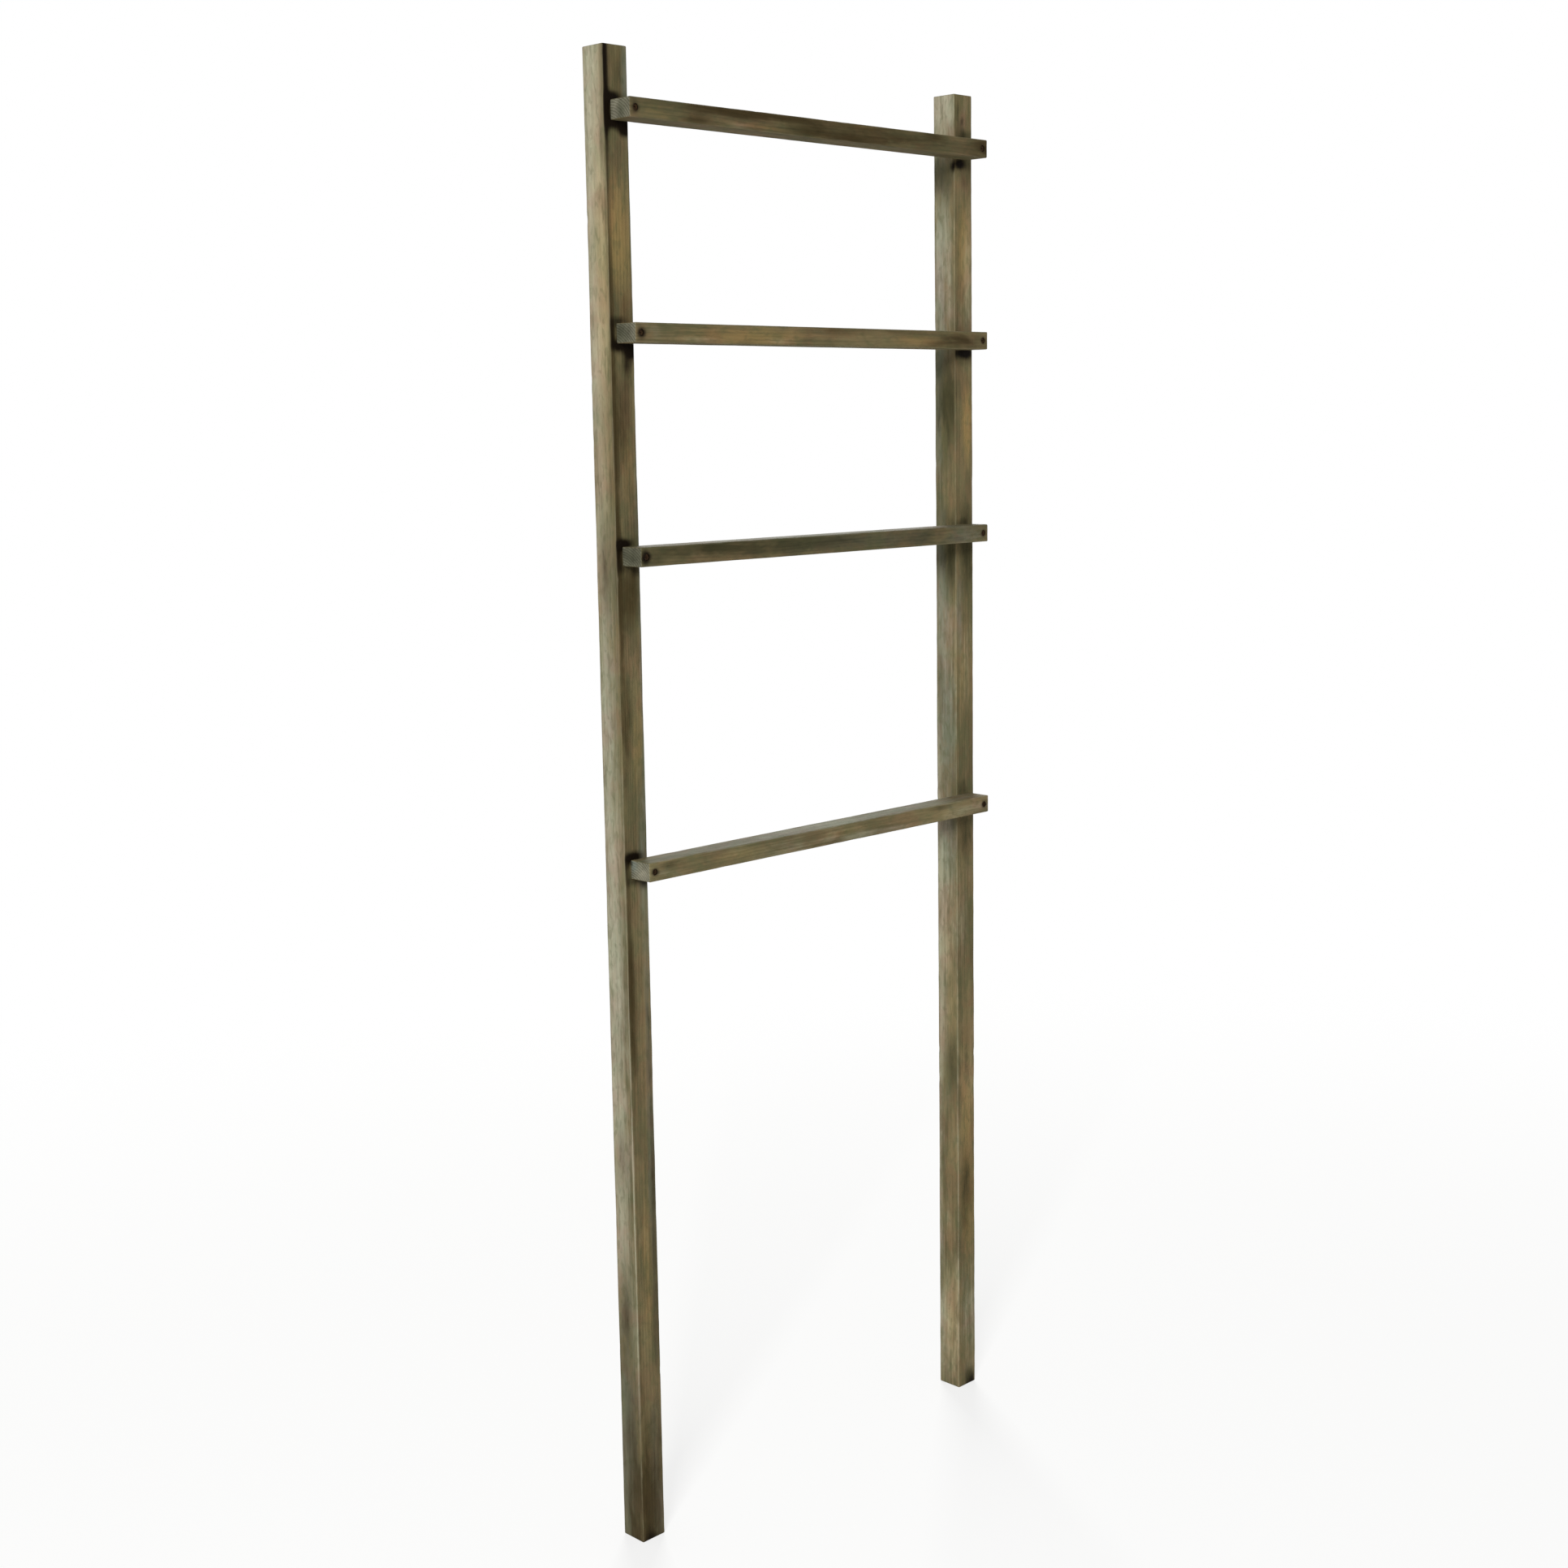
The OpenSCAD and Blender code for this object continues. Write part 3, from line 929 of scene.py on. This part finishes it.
            (FRONT, -280, 0, 10, 10, 0.25), (FRONT, -208, -7, 26, 4, 0.3), (FRONT, -80, -7, 26, 4, 0.3),
            (TOP, 85, 0, 200, 30, 0.35), (START, 2, -12, 9, 4, 0.1),
        ],
        "gold": [
            (FRONT, -128, -2, 110, 14, 0.75), (FRONT, 64, 3, 70, 7, 0.2), (FRONT, 171, -2, 60, 8, 0.6),
        ],
        "grey": [(FRONT, -64, 9, 60, 4, 0.3), (TOP, 0, 0, 300, 30, 0.5)],
        "red": [(FRONT, 0, 4, 40, 8, 0.4), (FRONT, 256, 0, 60, 14, 0.7)],
        "shade": [
            (FRONT, 21, 8, 50, 8, 0.6), (FRONT, 139, 9, 60, 5, 0.5), (FRONT, 201, -7, 30, 5, 0.4),
            (FRONT, 256, 0, 55, 14, 0.75), (START, 0, 10, 14, 14, 0.9),
        ],
    },
    "third_rung": {
        "shadow_and_stain": [*hole_shade_and_stains(), (FRONT, -306, 0, 8, 14, 0.6)],
        "bleach_and_light": [(TOP, -43, 0, 220, 30, 0.4)],
        "gold": [(FRONT, -251, -2, 26, 8, 0.35), (FRONT, -182, -7, 60, 4, 0.5)],
        "grey": [
            (FRONT, 64, 0, 200, 16, 0.4), (FRONT, 262, 0, 40, 14, 0.5), (TOP, 0, 0, 300, 30, 0.7),
        ],
        "red": [(FRONT, -160, 0, 40, 8, 0.3)],
        "shade": [
            (FRONT, -273, 0, 26, 12, 0.3), (FRONT, -192, 6, 50, 7, 0.6), (FRONT, -64, 2, 230, 16, 0.55),
            (FRONT, 203, 0, 60, 16, 0.3), (START, 0, 0, 14, 22, 0.9),
        ],
    },
    "bottom_rung": {
        "shadow_and_stain": [*hole_shade_and_stains(), (START, 8, 17, 6, 5, 0.7)],
        "bleach_and_light": [
            (FRONT, -80, -7, 26, 5, 0.3), (FRONT, 43, -7, 34, 5, 0.45), (FRONT, 107, -7, 60, 5, 0.4),
            (FRONT, 256, -2, 60, 10, 0.4), (TOP, 11, 0, 150, 30, 0.4), (START, -5, -6, 8, 10, 0.3),
        ],
        "gold": [
            (FRONT, -171, 0, 60, 10, 0.4), (FRONT, 0, 2, 110, 8, 0.4), (FRONT, 214, -2, 50, 8, 0.4),
        ],
        "grey": [
            (FRONT, -64, 0, 60, 8, 0.2), (TOP, 0, 0, 320, 30, 0.7), (START, 6, 12, 8, 8, 0.8),
        ],
        "red": [(FRONT, -96, -3, 40, 5, 0.3), (FRONT, 139, 2, 40, 6, 0.3)],
        "shade": [
            (FRONT, -273, 6, 35, 7, 0.8), (FRONT, -245, -2, 50, 10, 0.4), (FRONT, 208, 7, 50, 6, 0.75),
        ],
    },
}

# Knots: the face, the place along the bar, the offset from the middle line and the size
RAIL_KNOTS = {"left_rail": [(FRONT, 1090, 6, 4.0)], "right_rail": [(FRONT, 1766, -2, 7.0)]}

LOOKS = {
    "left_rail": {"gold": 0.05, "grey": 0.0, "shade": 0.0, "dark": BROWN, "level": 1.04, "end": 1.0},
    "right_rail": {"gold": 0.1, "grey": 0.05, "shade": 0.0, "dark": OLIVE, "level": 1.15, "end": 1.0},
    "top_rung": {"gold": 0.0, "grey": -0.1, "shade": 0.2, "dark": BROWN, "level": 0.92, "end": 1.0},
    "second_rung": {"gold": 0.05, "grey": -0.1, "shade": 0.0, "dark": BROWN, "level": 1.03, "end": 0.95},
    "third_rung": {"gold": -0.1, "grey": 0.1, "shade": 0.15, "dark": OLIVE, "level": 0.97, "end": 0.92},
    "bottom_rung": {"gold": 0.0, "grey": 0.15, "shade": -0.15, "dark": OLIVE, "level": 1.16, "end": 1.15},
}

# The first bar's seed for its shape and for its grain. Each bar after it has the next one.
RAIL_SHAPE_SEED, RAIL_GRAIN_SEED = 11, 31
RUNG_SHAPE_SEED, RUNG_GRAIN_SEED = 21, 41

for number, rail in enumerate(RAILS):
    wood = stained_wood(rail + "_wood", RAIL_AXES, RAIL_GRAIN_SEED + number, LOOKS[rail])
    bar = Bar(rail, RAIL_AXES, RAIL_CELLS, RAIL_SHAPE_SEED + number, knots=RAIL_KNOTS[rail])
    bar.build(wood, MARKS[rail])

for number, rung in enumerate(RUNGS):
    wood = stained_wood(rung + "_wood", RUNG_AXES, RUNG_GRAIN_SEED + number, LOOKS[rung])
    bar = Bar(rung, RUNG_AXES, RUNG_CELLS, RUNG_SHAPE_SEED + number, holes=HOLE_PLACES)
    bar.build(wood, MARKS[rung])

steel = dark_steel("dark_screw_steel")
for node in sorted(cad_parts):
    if node.endswith("_screw"):
        wood_screw(node, steel)

studio_floor(half=8.0, material=pale_floor("pale_floor", fade_from=0.8, fade_to=3.0))
white_surround("white_surround", strength=0.3)
soft_lamp("key_lamp", place=(-6.0, -4.2, 3.8), aim=(0.0, 0.0, 1.2), size=1.8, power=565.0)
soft_lamp("rear_lamp", place=(4.6, 5.2, 4.2), aim=(0.0, 0.0, 1.0), size=3.0, power=420.0)

bpy.context.scene.view_settings.view_transform = "Standard"
